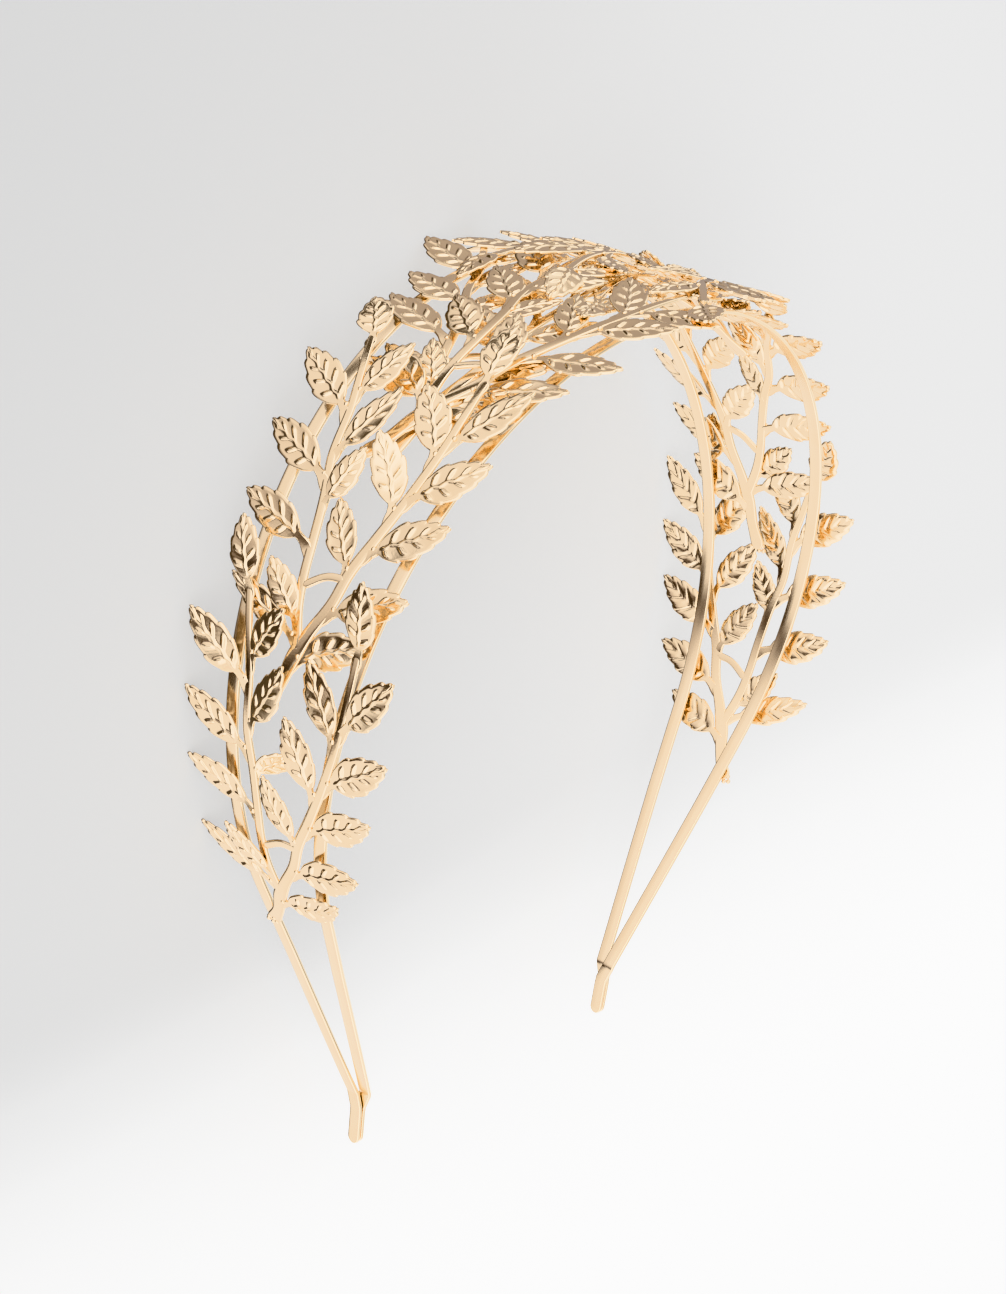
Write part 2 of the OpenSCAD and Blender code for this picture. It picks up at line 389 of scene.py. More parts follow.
# Bands, in millimetres. They are drawn thinner than their CAD solids, which are "thick", and each runs
# through the middle of its own.
bandShape = {"width": 2.4, "thick": 0.8, "drawn": 0.62, "slit": 0.06, "corner": 0.2, "dome": 0.03,
             "mergeBefore": 34, "mergeOver": 30, "step": 1.4, "nearCrease": (-0.6, -0.3, 0.3, 0.6),
             "tip": 1.2, "tipHalf": 0.02,
             "tipSteps": (0, 0.02, 0.08, 0.18, 0.32, 0.5, 0.72, 1, 2, 3, 4, 5, 6, 7)}
bandTree, sheet, given, end = shapeTree(
    "bandOnArch", {"Lines": "Object", "Profile": "Object", "Metal": "Material"} | placing)
strip = sheet.grouped(stripFromLines, {name: given[name] for name in ("Lines", "Profile")})
laid = sheet.grouped(layOnArch, {"Flat shape": strip} | {name: given[name] for name in placing})
finishTree(sheet, end, laid, given["Metal"])

bandProfile = flatProfile("bandProfile", bandShape["drawn"] / 2 * mm,
                          (bandShape["corner"] * 2 / bandShape["width"], bandShape["corner"] * mm),
                          bandShape["dome"] * mm)
bandPlaces = set(np.linspace(-halfLength, halfLength, round(2 * halfLength / bandShape["step"])))
for side in (-1, 1):
    bandPlaces |= {side * (fullLength - bandShape["tip"] * step) for step in bandShape["tipSteps"]}
    bandPlaces |= {side * (halfLength + step) for step in bandShape["nearCrease"]}
for node, side in (("front_band", -1), ("back_band", 1)):
    points, halfWidths = [], []
    for u in sorted(bandPlaces):
        merged = limited((abs(u) - halfLength + bandShape["mergeBefore"]) / bandShape["mergeOver"])
        lift = side * (bandShape["thick"] + bandShape["slit"]) / 2 * merged
        points.append((-side * spreadAt(u) * mm, u * mm, lift * mm))
        past = max(abs(u) - fullLength + bandShape["tip"], 0) / bandShape["tip"]
        rounded = bandShape["width"] / 2 * math.sqrt(max(1 - past * past, 0))
        halfWidths.append(max(rounded, bandShape["tipHalf"]) * mm)
    line = addLines(node + "_line", [(points, halfWidths, [0] * len(points), False)])
    makePiece(node + "_look", bandTree, {
        "Lines": line, "Profile": bandProfile, "Metal": bandMetal, "Arch": archPath,
        "Across": 0.0, "Along": 0.0, "Lean": 0.0, "Side": 1.0,
        "Rise at foot": 0.0, "Rise at tips": 0.0, "Rise over": 1.0})
    bpy.data.objects.remove(line)
print("bands bent")

# Leaf blade: y runs 0 to 1 along the leaf, and x and z are real. Sizes are in millimetres, and pairs
# of numbers are the shares between which something comes or goes. Rows slant forward with the veins.
leafShape = {
    "length": 14.6, "half": 2.85, "bulge": (0.78, 0.8), "thinnest": 0.05, "pointOver": 0.12,
    "neck": 0.68, "neckShare": 0.28, "flare": 0.5, "flareAt": 0.12, "flareWide": 0.07,
    "sheet": 0.42, "rootSheet": 0.55, "rootOver": (0.02, 0.2), "rim": 0.17, "rimFrom": 0.5,
    "veins": 4, "slant": 1.75, "veinBend": 1.12, "lastRow": 0.985,
    "neckRows": (0, 0.05, 0.10, 0.15, 0.20, 0.25), "tipPhases": (0, 0.19, 0.35),
    "phases": (0, 0.05, 0.10, 0.15, 0.19, 0.31, 0.35, 0.40, 0.45),
    "columns": (0, 0.06, 0.12, 0.20, 0.28, 0.45, 0.56, 0.64, 0.72, 0.80, 1),
    "underColumns": (0, 0.20, 0.64, 1), "rimLevels": (0.33, 0.67),
    "tooth": 0.27, "toothPeak": 0.8, "toothForward": 0.5, "toothPower": 3,
    "toothFrom": (0.03, 0.2), "toothTo": (0.86, 0.96),
    "zigzag": 0.14, "zigzagFrom": (0.02, 0.1), "zigzagTo": (0.8, 0.95),
    "beadHalf": 0.165, "beadRise": 0.30, "beadRound": 0.75, "beadShrink": 0.35,
    "beadFrom": (0.12, 0.22), "beadTo": (0.60, 0.74), "beadShorter": 0.03,
    "midribRise": 0.24, "midribHalf": (0.08, 0.36), "midribShrink": 0.4,
    "pillow": 0.02, "reliefFrom": (0.02, 0.10), "reliefTo": (0.84, 0.93)}


def smoothStep(value, low, high):
    t = limited((value - low) / (high - low))
    return t * t * (3 - 2 * t)


def between(value, start, stop):
    # comes in over the first pair of numbers and goes over the second
    return smoothStep(value, *start) * (1 - smoothStep(value, *stop))


def bladeShare(share):
    return max(share - leafShape["neckShare"], 0) / (1 - leafShape["neckShare"])


def leafHalf(share):
    # half width of the leaf at a share of its length, in millimetres
    outward, power = leafShape["bulge"]
    full = leafShape["half"] * max(math.sin(math.pi * min(bladeShare(share), 1) ** outward), 0) ** power
    fromFlare = (share - leafShape["flareAt"]) / leafShape["flareWide"]
    flare = 1 + leafShape["flare"] * math.exp(-fromFlare ** 2)
    neck = leafShape["neck"] * flare * min(1, (1 - share) / leafShape["pointOver"])
    return math.hypot(full, max(neck, leafShape["thinnest"]))


def leafRows():
    # each row: its place at the midrib and at the edge, the bay between two veins that it is in, and how
    # far it is through that bay
    bays = leafShape["veins"] + 1
    rows = [(y, y, -1, 0) for y in leafShape["neckRows"]]      # neck rows run straight across
    for bay in range(bays):
        steps = leafShape["phases"] if bay < bays - 1 else leafShape["tipPhases"]
        for phase in [half + step for half in (0, 0.5) for step in steps]:
            blade = (bay + phase) / bays * leafShape["lastRow"]
            slanted = 1 - (1 - blade) ** leafShape["slant"]
            middle = leafShape["neckShare"] + (1 - leafShape["neckShare"]) * blade
            outer = leafShape["neckShare"] + (1 - leafShape["neckShare"]) * slanted
            rows.append((middle, outer, bay, phase))
    return rows + [(1, 1, bays, 0)]


def stagger(side):
    return 0 if side > 0 else 0.5      # veins and teeth alternate from side to side


def leafHeight(row, side, t, half):
    # how far the pressed relief stands above the sheet, in millimetres
    middle, outer, bay, phase = row
    if bay < 0:
        return 0
    blade, passed = bladeShare(middle), phase + stagger(side)
    local, order = passed % 1, bay + int(passed)
    across = (1 - min(abs(local - 0.5) / leafShape["beadHalf"], 1) ** 2) ** leafShape["beadRound"]
    stop = [edge - leafShape["beadShorter"] * order for edge in leafShape["beadTo"]]
    bead = leafShape["beadRise"] * across * between(t, leafShape["beadFrom"], stop) * (
        1 - leafShape["beadShrink"] * blade)
    midrib = leafShape["midribRise"] * (1 - smoothStep(t * half, *leafShape["midribHalf"])) * (
        1 - leafShape["midribShrink"] * blade)
    pillow = leafShape["pillow"] * math.sin(math.pi * t) * (1 - abs(2 * local - 1))
    return (max(bead, midrib) + pillow) * between(blade, leafShape["reliefFrom"], leafShape["reliefTo"])


def leafPoint(row, side, t, half):
    # x in millimetres and y as a share of the length, t of the way from the midrib to the edge
    middle, outer, bay, phase = row
    edge = zigzag = 0
    if bay >= 0:
        blade, saw, peak = bladeShare(middle), (phase + stagger(side)) % 1, leafShape["toothPeak"]
        edge = leafShape["tooth"] * (smoothStep(saw, 0, peak) - 0.5) * (1 - smoothStep(saw, peak, 1))
        edge *= between(blade, leafShape["toothFrom"], leafShape["toothTo"]) * t ** leafShape["toothPower"]
        zigzag = leafShape["zigzag"] * math.cos(math.tau * (phase + 0.5)) * (1 - t)
        zigzag *= between(blade, leafShape["zigzagFrom"], leafShape["zigzagTo"])
    y = middle + (outer - middle) * t ** leafShape["veinBend"]
    return side * (half + edge) * t + zigzag, y + edge * leafShape["toothForward"] / leafShape["length"]


def sideToSide(columns):
    return [(-1, t) for t in reversed(columns[1:])] + [(1, 0)] + [(1, t) for t in columns[1:]]


def quads(near, far):
    return zip(near, near[1:], far[1:], far)


def makeLeafBlade():
    # rings of points round the sheet: top, underside, and a rounded rim at the left and the right
    points, raised, rings, faces = [], [], [], []

    def addPoint(row, side, t, level):
        # level runs from 0 on the top to 1 underneath
        half = leafHalf(row[1])
        x, y = leafPoint(row, side, t, half)
        if t == 1 and level in (0, 1):
            x -= side * leafShape["rim"] * min(1, half / leafShape["rimFrom"])
        height = leafHeight(row, side, t, half)
        grown = smoothStep(row[1], *leafShape["rootOver"])      # it is thinner inside the stem
        thick = leafShape["sheet"] * (leafShape["rootSheet"] + (1 - leafShape["rootSheet"]) * grown)
        points.append((x * mm, y, (height + leafShape["sheet"] / 2 - thick * level) * mm))
        raised.append(min(height / leafShape["beadRise"], 1))
        return len(points) - 1

    for row in leafRows():
        top = [addPoint(row, side, t, 0) for side, t in sideToSide(leafShape["columns"])]
        under = [addPoint(row, side, t, 1) for side, t in sideToSide(leafShape["underColumns"])]
        rims = [[addPoint(row, side, 1, level) for level in leafShape["rimLevels"]] for side in (-1, 1)]
        rings.append((top, under, [top[0], *rims[0], under[0]], [top[-1], *rims[1], under[-1]]))
    for near, far in zip(rings, rings[1:]):
        faces += [(a, b, c, d) for a, b, c, d in quads(near[0], far[0])]
        faces += [(d, c, b, a) for a, b, c, d in quads(near[1], far[1])]
        faces += [(a, d, c, b) for a, b, c, d in quads(near[2], far[2])]
        faces += [(b, c, d, a) for a, b, c, d in quads(near[3], far[3])]
    for ring, flipped in ((rings[0], False), (rings[-1], True)):
        top, under, left, right = ring
        cap = [*under, right[2], right[1], *reversed(top), left[1], left[2]]
        faces.append(tuple(reversed(cap)) if flipped else tuple(cap))
    blade = addMesh("leafBlade", points, faces)
    blade.data.attributes.new("raised", "FLOAT", "POINT").data.foreach_set("value", raised)
    return blade


leafBlade = makeLeafBlade()
print("leaf blade", len(leafBlade.data.polygons), "faces")

# Sprig: one pressing, measured flat in millimetres and laid eight times over the arch. The points of its
# stems are (across, along, width).
sprigShape = {
    "thick": 0.50, "corner": 0.16, "cornerShare": 0.28, "dome": 0.06, "widen": 1.08,
    "spacing": 0.8, "endSteps": (0, 0.03, 0.12, 0.28, 0.5, 0.75, 1), "endThinnest": 0.0004,
    "mainStem": [(-4.5, -9, 2.6), (-2.3, -5.5, 2.0), (0, 0, 2.4), (1.9, 3.5, 1.9), (4.8, 8.5, 1.8),
                 (6.4, 13.5, 1.8), (8.7, 18.5, 1.7), (11.5, 26, 1.5), (13.2, 33.5, 1.4), (13.6, 41, 1.3),
                 (13.4, 47, 1.2)],
    "sideStem": [(0.2, 0.6, 1.7), (-1.3, 7, 1.6), (-1.7, 11.5, 1.5), (-1.9, 16, 1.5), (-2.9, 23.5, 1.5),
                 (-4.5, 29, 1.4), (-5.6, 37, 1.3), (-7.7, 43.5, 1.2), (-10, 50, 1.1)],
    "bridge": [(5.7, 12.3, 1.2), (3, 12.1, 1.1), (-1.2, 9.9, 1.2)]}
# Leaves: the stem it grows from, place along, tip across, tip along, share of the full width.
leafTable = [
    ("mainStem", -2.5, 12.8, 3.5, 1), ("mainStem", 6, 18.5, 11.7, 1), ("mainStem", 16, 21.5, 23.3, 1),
    ("mainStem", 25, 23.5, 33.5, 1), ("mainStem", 34.5, 23.3, 46, 1), ("mainStem", 46, 12.5, 57, 1),
    ("mainStem", 12.5, 0.2, 23.6, 0.94), ("mainStem", 22, 2.8, 34, 0.94), ("mainStem", 31.5, 5, 43.5, 1),
    ("sideStem", 3.5, -7.6, 12.6, 0.86), ("sideStem", 1.2, -14.5, 9, 0.86), ("sideStem", 15, -16, 21, 1),
    ("sideStem", 25, -17.2, 32, 1), ("sideStem", 35.5, -17.9, 44, 1), ("sideStem", 49, -14.2, 59, 1),
    ("sideStem", 21.5, 2.3, 31, 0.8), ("sideStem", 29, 2.2, 41.5, 0.94), ("sideStem", 38.5, -0.8, 49, 0.94)]
# Sprigs: across, along, lean in degrees, side (1 is the left leg), rise at the foot, rise at the tips, length
# it rises over, lift of the last leaves, spread of the leaves' rolls in degrees, seed.
sprigPlaces = {
    "left_low_sprig": (1, -128, -0.7, 1, 0.85, 3.035, 66, 2.2, 6, 3),
    "left_mid_sprig": (-0.6, -84.8, 4.9, 1, 0.85, 4.27, 64, 1.4, 3, 8),
    "left_top_sprig": (-2.3, -45.1, -2.3, 1, 1.8, 2.75, 37, 0.4, 4, 5),
    "left_crown_sprig": (-2.4, -43.5, 18.3, 1, 0.85, 0.85, 37, 0.4, 4, 11),
    "right_low_sprig": (2.4, -130.3, -2.8, -1, 0.85, 3.035, 66, 0.8, 4, 21),
    "right_mid_sprig": (-3.5, -86.7, 5.1, -1, 0.85, 4.27, 64, 0.8, 4, 14),
    "right_top_sprig": (-2.3, -41.8, 0, -1, 0.85, 1.8, 37, 0.2, 4, 17),
    "right_crown_sprig": (-2.2, -42.8, 18.4, -1, 1.8, 3.7, 37, 0.0, 5, 29)}
# Leaves posed one by one, by sprig and place in the table: tip across, tip along, rise of the tip, and roll
# in degrees.
bentLeaves = {
    "left_low_sprig": {
        2: (21.5, 23.3, 0.3, 0), 3: (23.5, 33.5, 0.4, -8), 7: (2.8, 34, 0.6, 4), 8: (5, 43.5, 0.5, 10),
        10: (-14.5, 9, 0.5, 1), 11: (-16, 21, 0.8, 3), 12: (-17.2, 32, 1.1, 7), 15: (4.9, 28, -1.4, -36)},
    "left_mid_sprig": {14: (-13.6, 55.8, 1.2, 0)},
    "left_top_sprig": {
        1: (19.5, 13, 0.4, 0), 2: (23.2, 20.9, 0.2, 0), 4: (26.5, 39.5, 0.2, 0), 11: (-12.1, 22.7, 0.6, 0),
        12: (-13.7, 33.1, 0.6, 0)},
    "left_crown_sprig": {
        11: (-15.9, 25.2, 0.5, 0), 12: (-15.6, 31.9, 0.5, 0), 14: (-13.5, 56.5, -3, 0)},
    "right_low_sprig": {
        0: (12.8, 3.5, 0.2, 0), 1: (18.5, 11.7, 0.2, 0), 2: (21.5, 23.3, 0.2, 0), 3: (23.5, 33.5, 0.2, 0),
        4: (23.3, 46, 0.3, 0)},
    "right_top_sprig": {
        1: (18.5, 11.7, 0, 0), 2: (21.5, 23.3, -0.2, 0), 3: (23.5, 33.5, 0, 0), 4: (23.3, 46, -0.3, 0)}}
# How the other leaves vary, in millimetres and degrees, and how every leaf leaves its stem.
leafPose = {"sway": 6, "curl": 0.5, "curlSpread": 0.6, "curlLimits": (-0.5, 1.7), "dipSpread": 0.25,
            "liftAtFoot": 0.3, "liftOver": 45, "liftPower": 1.3, "freeFrom": 0.15, "sink": 0.02,
            "twist": 4, "rollFrom": 0.1, "rollOver": 0.25, "sideRoll": 11, "sideFrom": -10,
            "cup": 18.0, "cupRange": (-1.0, 1.6),
            "backInStem": 1.8, "alongStem": 2.2, "straightTip": 7.5, "linePoints": 22}
# Beads of solder where a leaf parts from its stem, and five at the foot.
beadShape = {"radius": 0.42, "flat": 0.75, "apart": 1.25, "beforeEnd": 4, "towardsLeaf": 0.55,
             "height": 0.20, "footHeight": 0.16,
             "foot": ((-0.9, -0.1), (0, -0.35), (0.9, 0), (-0.5, 0.7), (0.55, 0.75))}

sprigTree, sheet, given, end = shapeTree("sprigOnArch", {
    "Leaf blade": "Object", "Leaf lines": "Object", "Leaves": "Int", "Lines": "Object", "Profile": "Object",
    "Beads": "Object", "Bead size": "Float", "Cup": "Float", "Seed": "Int", "Metal": "Material"} | placing)
strip = sheet.grouped(stripFromLines, {name: given[name] for name in ("Lines", "Profile")})
seeds = sheet.put("GeometryNodePoints", {}, {"Count": given["Leaves"]})
seeds = sheet.stored(seeds, "leafNumber", sheet.put("GeometryNodeInputIndex"), "INT")
blades = sheet.onPoints(seeds, sheet.shapeOf(given["Leaf blade"]))
x, y, z = sheet.parts(sheet.put("GeometryNodeInputPosition"))
number = sheet.named("leafNumber", "INT")
leafLines = sheet.shapeOf(given["Leaf lines"])


def sampled(value):
    # a value of the leaf's own line, at the blade's place along it
    return sheet.put("GeometryNodeSampleCurve", {"mode": "FACTOR"}, {
        "Curves": leafLines, "Value": value, "Factor": y, "Curve Index": number}, out=None)


track = sampled(sheet.put("GeometryNodeInputRadius"))
width, middle, heading = (Wire(sheet, track.outputs[k]) for k in ("Value", "Position", "Tangent"))
roll = Wire(sheet, sampled(sheet.put("GeometryNodeInputCurveTilt")).outputs["Value"])
flatSide = sheet.vector("NORMALIZE", sheet.vector("CROSS_PRODUCT", heading, (0, 0, 1)))
flatUp = sheet.vector("CROSS_PRODUCT", flatSide, heading)
cosine, sine = sheet.math("COSINE", roll), sheet.math("SINE", roll)
bladeSide = sheet.vector("ADD", sheet.scaled(flatSide, cosine), sheet.scaled(flatUp, sine))
bladeUp = sheet.vector("SUBTRACT", sheet.scaled(flatUp, cosine), sheet.scaled(flatSide, sine))
leastCup, mostCup = leafPose["cupRange"]
cup = given["Cup"] * sheet.put("FunctionNodeRandomValue", {"data_type": "FLOAT"}, {
    2: leastCup, 3: mostCup, "ID": number, "Seed": given["Seed"]}, out=1)
outOfLine = sheet.vector("ADD", sheet.scaled(bladeSide, x * width), sheet.scaled(bladeUp, z + cup * x * x))
blades = sheet.moved(blades, sheet.vector("ADD", middle, outOfLine))
ball = sheet.put("GeometryNodeMeshIcoSphere", {}, {"Radius": given["Bead size"], "Subdivisions": 2})
balls = sheet.onPoints(sheet.shapeOf(given["Beads"]), ball, (1, 1, beadShape["flat"]))
whole = sheet.put("GeometryNodeJoinGeometry", {}, {"Geometry": [strip, blades, balls]})
laid = sheet.grouped(layOnArch, {"Flat shape": whole} | {name: given[name] for name in placing})
finishTree(sheet, end, laid, given["Metal"])

stemProfile = flatProfile("stemProfile", sprigShape["thick"] / 2 * mm,
                          (sprigShape["cornerShare"], sprigShape["corner"] * mm), sprigShape["dome"] * mm)


def smoothed(table):
    # a smooth run through the table's points, closer at both ends, which are rounded
    table = np.array(table, float)
    steps = np.r_[0, np.cumsum(np.hypot(*np.diff(table[:, :2], axis=0).T))]
    slopes = np.gradient(table, steps, axis=0)
    first, last = table[[0, -1], 2] / 2
    ends = np.array(sprigShape["endSteps"])
    inner = np.arange(first, steps[-1] - last, sprigShape["spacing"])
    places = np.unique(np.r_[ends * first, inner, steps[-1] - ends * last])
    k = np.clip(np.searchsorted(steps, places, "right") - 1, 0, len(steps) - 2)
    span = (steps[k + 1] - steps[k])[:, None]
    t = ((places - steps[k])[:, None]) / span
    run = ((2 * t**3 - 3 * t**2 + 1) * table[k] + (t**3 - 2 * t**2 + t) * span * slopes[k]
           + (3 * t**2 - 2 * t**3) * table[k + 1] + (t**3 - t**2) * span * slopes[k + 1])
    gap = np.minimum(np.minimum(places / first, (steps[-1] - places) / last), 1)
    run[:, 2] *= np.sqrt(np.maximum(1 - (1 - gap)**2, sprigShape["endThinnest"]))
    return run


stemRuns = {name: smoothed(sprigShape[name]) * (1, 1, sprigShape["widen"])
            for name in ("mainStem", "sideStem", "bridge")}


def leafLine(stem, start, tip, sway):
    # from inside the stem, along it at first, then out to the tip
    run = stemRuns[stem]
    at = int(np.argmin(abs(run[:, 1] - start)))
    ahead, behind = run[min(at + 2, len(run) - 1), :2], run[max(at - 2, 0), :2]
    forward = (ahead - behind) / np.linalg.norm(ahead - behind)
    root, tip = np.array([np.interp(start, run[:, 1], run[:, 0]), start]), np.array(tip, float)
    across, along = (tip - root) / np.linalg.norm(tip - root)
    cosine, sine = math.cos(math.radians(sway)), math.sin(math.radians(sway))
    bladeWay = np.array([across * cosine - along * sine, across * sine + along * cosine])
    knots = [root - forward * leafPose["backInStem"], root + forward * leafPose["alongStem"],
             tip - bladeWay * leafPose["straightTip"], tip]
    t = np.linspace(0, 1, leafPose["linePoints"])[:, None]
    return ((1 - t)**3 * knots[0] + 3 * t * (1 - t)**2 * knots[1]
            + 3 * t**2 * (1 - t) * knots[2] + t**3 * knots[3])


def sprigLines(name, mostLift, rollSpread, seed):
    # the lines that the leaves of one sprig follow, and the places of its beads
    draw = np.random.default_rng(seed)
    lines, beads = [], []
    for number, (stem, start, tipAcross, tipAlong, share) in enumerate(leafTable):
        climbed = limited(start / leafPose["liftOver"])
        lift = leafPose["liftAtFoot"] + (mostLift - leafPose["liftAtFoot"]) * climbed
        outside = tipAcross < leafPose["sideFrom"] and name.startswith("left")
        roll = leafPose["sideRoll"] if outside else 0
        bent = bentLeaves.get(name, {}).get(number)
        if bent:
            tipAcross, tipAlong, lift, roll = bent
        path = leafLine(stem, start, (tipAcross, tipAlong), draw.normal(0, leafPose["sway"]))
        curl = np.clip(draw.normal(leafPose["curl"], leafPose["curlSpread"]), *leafPose["curlLimits"])
        if bent:
            curl = 0
        dip = draw.normal(0, leafPose["dipSpread"])
        t = np.linspace(0, 1, len(path))
        free = np.clip((t - leafPose["freeFrom"]) / (1 - leafPose["freeFrom"]), 0, 1)
        height = (curl * free**2 + lift * free**leafPose["liftPower"] + dip * np.sin(np.pi * free)
                  - leafPose["sink"])
        turned = draw.normal(roll, rollSpread) + draw.normal(0, leafPose["twist"]) * t
        rolls = np.radians(turned) * np.clip((t - leafPose["rollFrom"]) / leafPose["rollOver"], 0, 1)
        lines.append((np.c_[path, height] * mm, [share] * len(path), rolls, False))
        run = stemRuns[stem][:, :2]
        gaps = np.linalg.norm(path[:, None] - run[None], axis=2)
        apart = np.nonzero(gaps.min(1) > beadShape["apart"])[0]
        if len(apart) and start < run[-1, 1] - beadShape["beforeEnd"]:
            onLeaf, onStem = path[apart[0]], run[gaps.argmin(1)[apart[0]]]
            middle = onLeaf * beadShape["towardsLeaf"] + onStem * (1 - beadShape["towardsLeaf"])
            beads.append((*(middle * mm), beadShape["height"] * mm))
    foot = np.array(sprigShape["mainStem"][0][:2])
    beads += [(*((foot + step) * mm), beadShape["footHeight"] * mm) for step in beadShape["foot"]]
    return addLines(name + "_leaves", lines), addMesh(name + "_beads", beads, [])


stemLines = addLines("stemLines", [
    (np.c_[run[:, :2], np.zeros(len(run))] * mm, run[:, 2] / 2 * mm, [0] * len(run), False)
    for run in stemRuns.values()])
for node, row in sprigPlaces.items():
    across, along, lean, side, foot, tips, over, mostLift, rollSpread, seed = row
    leaves, beads = sprigLines(node, mostLift, rollSpread, seed)
    makePiece(node + "_look", sprigTree, {
        "Leaf blade": leafBlade, "Leaf lines": leaves, "Leaves": len(leafTable), "Lines": stemLines,
        "Profile": stemProfile, "Beads": beads, "Bead size": beadShape["radius"] * mm,
        "Cup": leafPose["cup"], "Seed": seed, "Metal": sprigMetal, "Arch": archPath,
        "Across": across * mm, "Along": along * mm, "Lean": math.radians(lean), "Side": float(side),
        "Rise at foot": foot * mm, "Rise at tips": tips * mm, "Rise over": over * mm})
    bpy.data.objects.remove(leaves)
    bpy.data.objects.remove(beads)
for helper in (leafBlade, bandProfile, stemProfile, stemLines, archPath):
    bpy.data.objects.remove(helper)
print("sprigs laid")

# Floor: pale paper with a painted glow, which lifts it and fills in the shadows on it. Its grey is painted
# with light falling off: bright in front of the two ends, darker beyond them, and a little brighter to the
# right. The pairs are the places, in metres, between which it changes.
paper = {"radius": 2.4, "sides": 96, "far": 0.174, "glow": 2.3,
         "nearGain": 0.46, "nearFrom": (-0.45, -0.20), "nearTo": (-0.14, -0.03),
         "midGain": 0.014, "midTo": (-0.03, 0.14), "rightGain": 0.048, "rightFrom": (-0.16, 0.16)}
# Tent: what the camera sees past the edge of the floor. Nothing else meets it.
tentShape = {"radius": 2.6, "segments": 64, "rings": 32, "tone": 0.82}


def paint(name, kind, colour, glow=0.0):
    material = bpy.data.materials.new(name)
    material.use_nodes = True
    material.node_tree.nodes.clear()
    sheet = NodeSheet(material.node_tree)
    surface = sheet.put(kind, {}, {"Color": colour(sheet)})
    if glow:
        light = sheet.put("ShaderNodeEmission", {}, {"Color": colour(sheet), "Strength": glow})
        surface = sheet.put("ShaderNodeAddShader", {}, {0: surface, 1: light})
    sheet.put("ShaderNodeOutputMaterial", {}, {"Surface": surface}, out=None)
    return material


def paperGreyWithPaintedFalloff(sheet):
    # painted light falloff: the grey is brighter in front of the ends and to the right, and darker beyond
    # them
    x, y = sheet.parts(sheet.put("ShaderNodeTexCoord", {}, {}, "Object"))[:2]
    near = (1 - sheet.ease(y, *paper["nearTo"])) * sheet.ease(y, *paper["nearFrom"])
    mid = 1 - sheet.ease(y, *paper["midTo"])
    right = sheet.ease(x, *paper["rightFrom"])
    grey = paper["far"] + near * paper["nearGain"] + mid * paper["midGain"] + right * paper["rightGain"]
    return sheet.joined(grey, grey, grey)


def tentGrey(sheet):
    return sheet.joined(tentShape["tone"], tentShape["tone"], tentShape["tone"])


turns = [math.tau * k / paper["sides"] for k in range(paper["sides"])]
edge = [(math.cos(a) * paper["radius"], math.sin(a) * paper["radius"], 0) for a in turns]
floor = addMesh("floor", edge, [tuple(range(paper["sides"]))])
# painted light: the floor's glow lights it evenly and fills in the shadows cast on it
floor.data.materials.append(paint("floor_paint", "ShaderNodeBsdfDiffuse", paperGreyWithPaintedFalloff, paper["glow"]))
floor.visible_glossy = False
bpy.ops.mesh.primitive_uv_sphere_add(
    segments=tentShape["segments"], ring_count=tentShape["rings"], radius=tentShape["radius"])
tent = bpy.context.object
tent.name = "tent"
tent.data.materials.append(paint("tent_paint", "ShaderNodeEmission", tentGrey))
tent.visible_glossy = tent.visible_diffuse = tent.visible_shadow = tent.visible_transmission = False

# Room: what the metal mirrors, by direction as the standing arch has it: right, away from the camera, up.
# The arch lies, so its front faces the ceiling, which also lights the floor. Away is below the floor, which
# the metal doesn't mirror. Each run of tones is by height, lowest first: straight away, aslant, to the right.
# Pairs of numbers are where one tone passes into the next.
roomAxes = {"right": (1, 0, 0), "away": (0, 0, -1), "up": (0, 1, 0)}
roomTones = {
    "away": ((0.0, 0.62), (0.20, 0.58), (0.30, 0.50), (0.33, 0.24), (0.345, 0.03), (0.42, 0.02), (0.45, 0.12),
             (0.49, 0.26), (0.56, 0.36), (0.68, 0.45), (0.80, 0.50), (0.90, 0.48), (1.0, 0.40)),
    "aslant": ((0.0, 0.56), (0.20, 0.56), (0.30, 0.58), (0.39, 0.48), (0.435, 0.05), (0.48, 0.05),
               (0.505, 0.28), (0.58, 0.46), (0.68, 0.60), (0.80, 0.58), (1.0, 0.56)),
    "right": ((0.0, 0.60), (0.28, 0.50), (0.36, 0.20), (0.42, 0.12), (0.50, 0.20), (0.60, 0.22),
              (0.80, 0.22), (0.93, 0.25), (1.0, 0.30))}
roomLight = {
    "power": 2.2, "green": 1.08, "blue": 1.11, "awayFrom": (0.49, 0.55), "rightFrom": (0.0, 0.40),
    "patchAt": -0.07, "patchHalf": (0.05, 0.09), "patchAbove": (0.60, 0.70),
    "patchTone": (0.04, 0.034, 0.030, 1), "ceiling": 1.5, "ceilingDim": 0.85, "ceilingDimTo": (0.05, 0.45),
    "ceilingTop": 0.4, "ceilingTopTo": (-0.8, -0.2), "ceilingTo": (-0.05, 0.28), "ceilingReach": 0.12,
    "reachFrom": (0.30, 0.65), "darkFrom": (0.72, 0.86), "darkLow": 0.10, "darkLowTo": (0.20, 0.32),
    "darkTone": (0.05, 0.042, 0.036, 1)}
room = bpy.data.worlds.new("room")
scene.world = room
room.use_nodes = True
room.node_tree.nodes.clear()
sheet = NodeSheet(room.node_tree)
looking = sheet.put("ShaderNodeTexCoord", {}, {}, "Generated")
right, away, up = (sheet.vector("DOT_PRODUCT", looking, tuple(restTurn @ Vector(axis)), out="Value")
                   for axis in roomAxes.values())
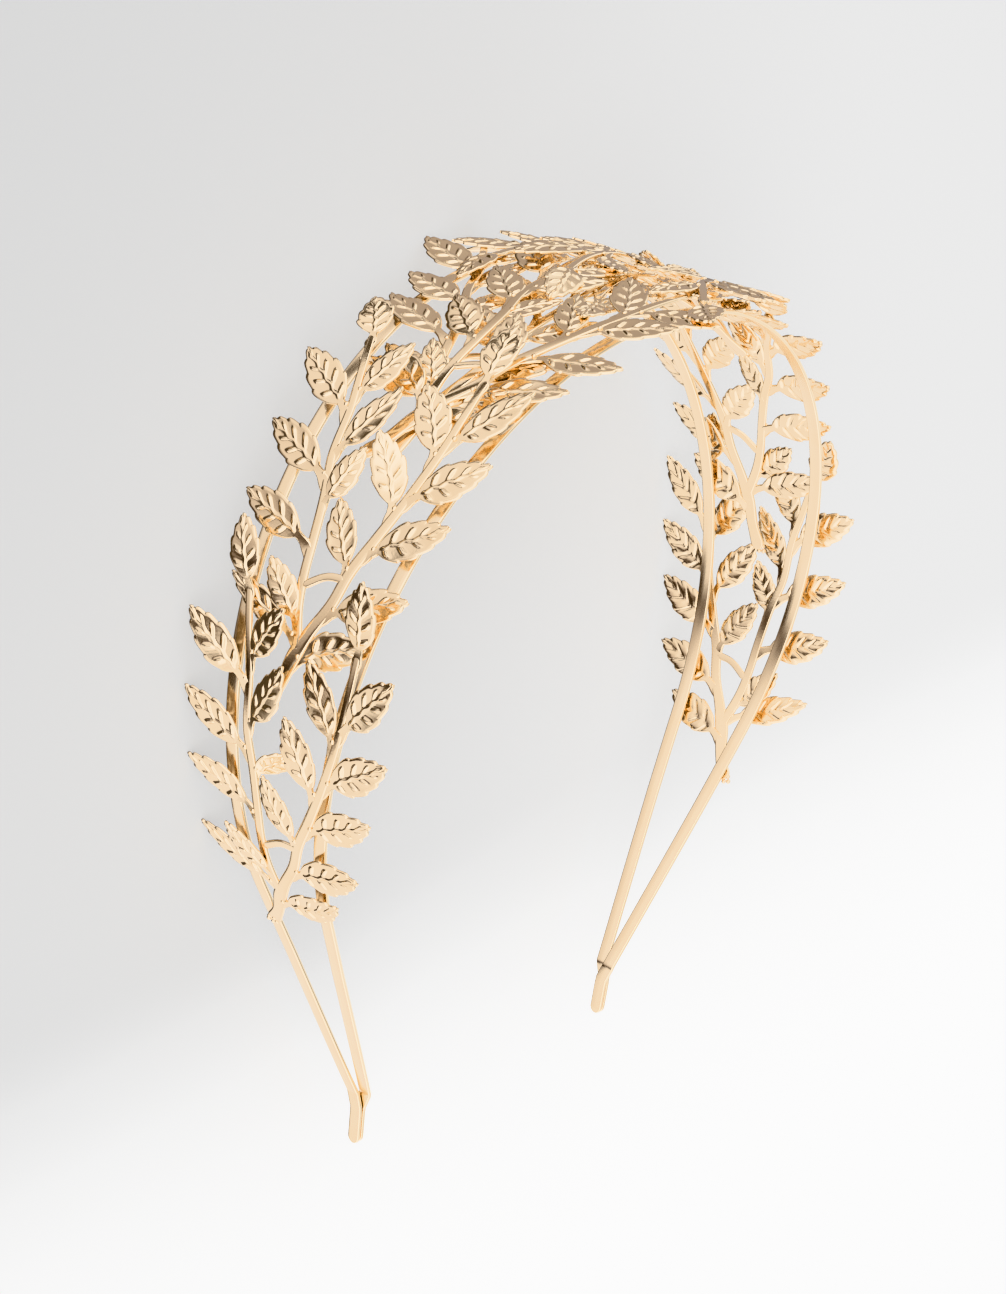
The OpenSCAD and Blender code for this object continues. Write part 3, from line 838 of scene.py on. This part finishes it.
height = up * 0.5 + 0.5


def roomRamp(stops):
    # darker tones of the room are a little warmer
    tones = [(place, (tone, tone ** roomLight["green"], tone ** roomLight["blue"])) for place, tone in stops]
    return sheet.put("ShaderNodeValToRGB", {"stops": tones}, {0: height})


awayRoom, slantRoom, rightRoom = (roomRamp(stops) for stops in roomTones.values())
tone = sheet.blend(sheet.ease(away, *roomLight["awayFrom"]), slantRoom, awayRoom)
tone = sheet.blend(sheet.ease(right, *roomLight["rightFrom"]), tone, rightRoom)
fromPatch = sheet.math("ABSOLUTE", right - roomLight["patchAt"])
patch = (1 - sheet.ease(fromPatch, *roomLight["patchHalf"])) * sheet.ease(up, *roomLight["patchAbove"])
tone = sheet.blend(patch, tone, roomLight["patchTone"])
reach = sheet.ease(right, *roomLight["reachFrom"]) * roomLight["ceilingReach"]
ceiling = roomLight["ceiling"] - sheet.ease(right, *roomLight["ceilingDimTo"]) * roomLight["ceilingDim"]
overhead = sheet.ease(away, *roomLight["ceilingTopTo"]) * (1 - roomLight["ceilingTop"])
ceiling = ceiling * (roomLight["ceilingTop"] + overhead)
tone = sheet.blend(sheet.ease(away - reach, *roomLight["ceilingTo"]),
                   sheet.joined(ceiling, ceiling, ceiling), tone)
low = (1 - sheet.ease(height, *roomLight["darkLowTo"])) * roomLight["darkLow"]
tone = sheet.blend(sheet.ease(away + low, *roomLight["darkFrom"]), tone, roomLight["darkTone"])
background = sheet.put("ShaderNodeBackground", {}, {"Color": tone, "Strength": roomLight["power"]})
sheet.put("ShaderNodeOutputWorld", {}, {"Surface": background}, out=None)

softbox = {"size": 0.6, "place": (-0.75, 0.05, 0.45), "power": 5.0}
lightData = bpy.data.lights.new("softbox", "AREA")
lightData.size, lightData.energy = softbox["size"], softbox["power"]
light = addObject("softbox", lightData)
light.visible_glossy = False
light.location = softbox["place"]
light.rotation_euler = (-Vector(softbox["place"])).to_track_quat("-Z", "Y").to_euler()
scene.view_settings.view_transform = "Khronos PBR Neutral"
print("studio lit")
